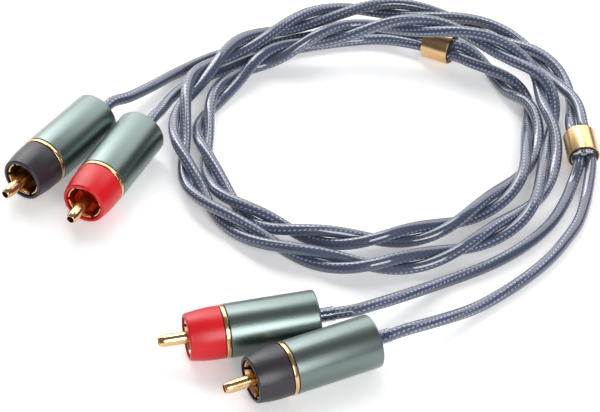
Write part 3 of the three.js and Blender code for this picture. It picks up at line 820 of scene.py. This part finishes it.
# Ground tabs and cores
# Inside the barrel a strip of gold-plated brass runs from a washer behind the neck to a claw closed round
# the jacket, and the strand's insulated core runs on, bare at its tip, into the pin's solder cup.
CORE_RADIUS = 0.9 * mm
CORE_FRONT = -10.75 * mm
CORE_OVERLAP = 0.5 * mm
CORE_SIDES = 32
CONDUCTOR_RADIUS = 0.45 * mm
CONDUCTOR_FRONT = -5.95 * mm
CONDUCTOR_SIDES = 24
COPPER = "c98a62"
POLYETHYLENE = "dcd6c8"
DRAWN_GRAIN_MM = 0.3


def rod_outline(radius, rear, front):
    """A square-cut rod's section, with a hair's hole on its axis."""
    return eased([
        (AXIS_HOLE, rear, AXIS_EDGE), (radius, rear, FINE_EDGE),
        (radius, front, FINE_EDGE), (AXIS_HOLE, front, AXIS_EDGE),
    ], steps=3)


def plain_metal(name, colour, roughness):
    """A bright drawn or rolled metal with a satin sheen and a faint grain."""
    material, tree = new_material(name)
    grain = relief(tree, DRAWN_GRAIN_MM, detail=2.0, strength=0.1, depth_mm=0.05)
    shader = add_node(tree, "ShaderNodeBsdfPrincipled", {
        "Base Color": linear(colour), "Metallic": 1.0, "Roughness": roughness, "Normal": grain,
    })
    finish_material(tree, shader)
    return material


plated_strip = plain_metal("gold_plated_brass_strip", GOLD, roughness=0.25)
copper = plain_metal("bare_copper_strands", COPPER, roughness=0.3)
core_insulation = moulded_material("polyethylene_core_insulation", POLYETHYLENE)
core_outline = rod_outline(CORE_RADIUS, JACKET_FRONT - CORE_OVERLAP, CORE_FRONT)
conductor_outline = rod_outline(CONDUCTOR_RADIUS, CORE_FRONT - CORE_OVERLAP, CONDUCTOR_FRONT)
for plug in PLUGS:
    for slot in nodes[plug + "_ground_tab"].material_slots:
        slot.material = plated_strip
    name = plug + "_insulated_core"
    mesh = turned(name, core_outline, plug_axes(plug), CORE_SIDES)
    add_piece(name, mesh, core_insulation, "stripped_end", plug + "_stripped_end")
    name = plug + "_bare_conductor"
    mesh = turned(name, conductor_outline, plug_axes(plug), CONDUCTOR_SIDES)
    add_piece(name, mesh, copper, "stripped_end", plug + "_stripped_end")

# Splitters
# A short tube of gold-plated brass over dark heat-shrink, where two split strands meet the twisted pair.
# Clear hot-melt glue fills it round the strands and stands out at both ends.
RING_WALL = 0.4 * mm
RING_EDGE = 0.15 * mm
SHRINK_RADIUS = 4.0 * mm
SHRINK_WALL = 0.3 * mm
SHRINK_PROUD = 0.2 * mm
SHRINK_BROWN = "2a1a10"
GLUE_RADIUS = 3.6 * mm
GLUE_HOLE_RADIUS = 1.7 * mm
GLUE_RIM_SHARE = 0.2
GLUE_SIDES = 96
GLUE_ROWS = 7
GLUE_GREY = "b4b9c0"


def glue_section(axes):
    """Points of the glue's surface, end by end. The hole is two overlapping circles: at an angle it
    reaches out by their offset times its sine, plus the root of their radius squared less the square of
    the offset times its cosine. From there the glue fills out to its own radius, and each end stands
    proud by a share at its rims and by half a sine wave more between them."""
    angle = np.linspace(0, 2 * np.pi, GLUE_SIDES, endpoint=False)[None]
    chord = np.sqrt(GLUE_HOLE_RADIUS**2 - (STRAND_OFFSET * np.cos(angle)) ** 2)
    hole = STRAND_OFFSET * abs(np.sin(angle)) + chord
    share = np.linspace(0, 1, GLUE_ROWS)[:, None]
    share = np.vstack([share, share[::-1]])
    end = np.repeat([-1.0, 1.0], GLUE_ROWS)[:, None]
    bulge = GLUE_RIM_SHARE + (1 - GLUE_RIM_SHARE) * np.sin(np.pi * share)
    along = end * (RING_LENGTH / 2 + GLUE_PROUD * bulge)
    return round_axis(hole + (GLUE_RADIUS - hole) * share, angle, along, axes)


satin_gold = gold_material("gold_plated_satin_brass", polished=0.27, dull=0.31)
heat_shrink = moulded_material("dark_heat_shrink", SHRINK_BROWN)
clear_glue = clear_material("clear_hot_melt_glue", GLUE_GREY, roughness=0.2, ior=1.48)
ring_end = RING_LENGTH / 2
shrink_end = ring_end + SHRINK_PROUD
ring_outline = tube_outline(RING_RADIUS - RING_WALL, RING_RADIUS, -ring_end, ring_end, RING_EDGE)
shrink_outline = tube_outline(
    SHRINK_RADIUS - SHRINK_WALL, SHRINK_RADIUS, -shrink_end, shrink_end, BROKEN_EDGE
)
for end in SPLITTERS:
    axes, splitter = splitter_axes(end), "splitter_" + end
    name = splitter + "_turned_ring"
    add_piece(name, turned(name, ring_outline, axes), satin_gold, "gold", splitter + "_ring")
    name = splitter + "_shrunk_sleeve"
    mesh = turned(name, shrink_outline, axes)
    add_piece(name, mesh, heat_shrink, "dark_sleeve", splitter + "_heat_shrink")
    name = splitter + "_glue_plug"
    mesh = bpy.data.meshes.new(name)
    mesh.from_pydata(glue_section(axes), [], grid_faces(2 * GLUE_ROWS, GLUE_SIDES, True, True))
    add_piece(name, mesh, clear_glue, "glue", splitter + "_glue")

# Cords
# Each strand runs from the plug of end A to the plug of end B, which lies at its far end, and here the far
# plug's pieces are gathered for it. It leaves the first plug at the end of its strain sleeve.
PLUG_PIECES = ("_turned_barrel", "_turned_trim", "_moulded_boot", "_slotted_shell", "_turned_pin",
               "_moulded_bush", "_clear_sleeve", "_insulated_core", "_bare_conductor")
for colour, (strand, path) in strands.items():
    near, far = "a_" + colour, "b_" + colour
    _, _, _, sleeve_out = PLUGS[near]
    pieces = [bpy.data.objects[far + name] for name in PLUG_PIECES]
    pieces.append(nodes[far + "_ground_tab"])

# Light
# A large soft lamp low behind the cable, a narrow one to the left of it, a third in front at the right, and
# a grey room that is paler overhead than at the horizon. A lamp's numbers are its place and size in metres,
# its power in watts, and its roll in degrees.
LAMPS = {
    "back": ((0.05, 0.79, 0.56), (2.8, 0.72), 14, -18),
    "front": ((0.31, -0.83, 0.48), (0.45, 0.6), 6.8, 0),
    "strip": ((-0.24, 0.62, 0.75), (0.2, 1.0), 4.4, 25),
}
SKY_LOW = "6a6c70"
SKY_HIGH = "b4b6ba"
SKY_HIGH_FROM = 0.9
SKY_STRENGTH = 0.4

for name, (place, size, power, roll) in LAMPS.items():
    lamp = bpy.data.objects.new(name, bpy.data.lights.new(name, "AREA"))
    lamp.data.shape = "RECTANGLE"
    lamp.data.size, lamp.data.size_y = size
    lamp.data.energy = power
    lamp.location = place
    aim = (-Vector(place)).to_track_quat("-Z", "Y")
    lamp.rotation_euler = (aim @ Quaternion((0, 0, 1), np.radians(roll))).to_euler()
    bpy.context.scene.collection.objects.link(lamp)

world = bpy.data.worlds.new("studio")
world.use_nodes = True
world.node_tree.nodes.clear()
tree = world.node_tree
direction = add_node(tree, "ShaderNodeTexCoord")
parts = add_node(tree, "ShaderNodeSeparateXYZ", {0: direction.outputs["Generated"]})
height = add_node(
    tree, "ShaderNodeMapRange",
    {"Value": parts.outputs["Z"], "From Min": 0.0, "From Max": SKY_HIGH_FROM},
    interpolation_type="SMOOTHSTEP",
)
sky = add_node(
    tree, "ShaderNodeMix", {0: height.outputs[0], 6: linear(SKY_LOW), 7: linear(SKY_HIGH)},
    data_type="RGBA",
)
room = add_node(tree, "ShaderNodeBackground", {"Color": sky.outputs[2], "Strength": SKY_STRENGTH})
add_node(tree, "ShaderNodeOutputWorld", {"Surface": room.outputs[0]})
bpy.context.scene.world = world
bpy.context.scene.view_settings.view_transform = "Standard"
